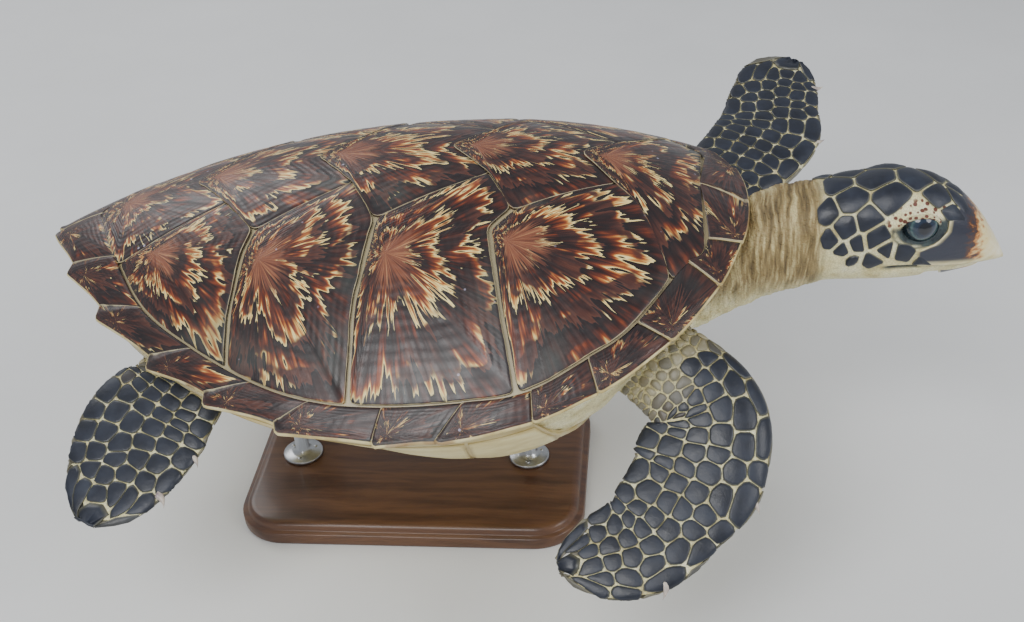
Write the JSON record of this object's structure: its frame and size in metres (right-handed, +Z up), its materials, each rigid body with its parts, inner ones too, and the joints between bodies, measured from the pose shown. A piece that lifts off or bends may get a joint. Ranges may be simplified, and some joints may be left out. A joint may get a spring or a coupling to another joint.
{
  "type": "hawksbill sea turtle display model",
  "caption": "Life-size still model of a young hawksbill sea turtle swimming, on a plain display stand with a flat base and short rods.",
  "frame": {"origin": "centre of the underside of the stand's base", "axes": "+X towards the head, +Y to the animal's left, +Z up"},
  "size_m": [0.8098, 0.6037, 0.353],
  "materials": {
    "shell_plates": "semi-gloss horny plates, dark maroon with amber and cream flames",
    "belly_plates": "satin cream-yellow horny plates",
    "soft_skin": "matt, finely wrinkled khaki skin, cream below",
    "scaled_skin": "slate-black scales with cream skin between them",
    "horn": "polished cream and amber horn",
    "eye": "wet dark eye",
    "stand_wood": "satin-varnished dark walnut",
    "stand_steel": "brushed"
  },
  "bodies": {
    "root": {"bill_lower": "horn", "bill_upper": "horn", "carapace": "shell_plates", "claw_front_left_1": "horn", "claw_front_left_2": "horn", "claw_front_right_1": "horn", "claw_front_right_2": "horn", "claw_hind_left_1": "horn", "claw_hind_left_2": "horn", "claw_hind_right_1": "horn", "claw_hind_right_2": "horn", "eye_left": "eye", "eye_right": "eye", "flipper_front_left": "scaled_skin", "flipper_front_right": "scaled_skin", "flipper_hind_left": "scaled_skin", "flipper_hind_right": "scaled_skin", "head": "scaled_skin", "neck": "soft_skin", "plastron": "belly_plates", "stand_base": "stand_wood", "stand_rod_front": "stand_steel", "stand_rod_rear": "stand_steel", "tail": "soft_skin", "trunk": "soft_skin"}
  },
  "joints": []
}
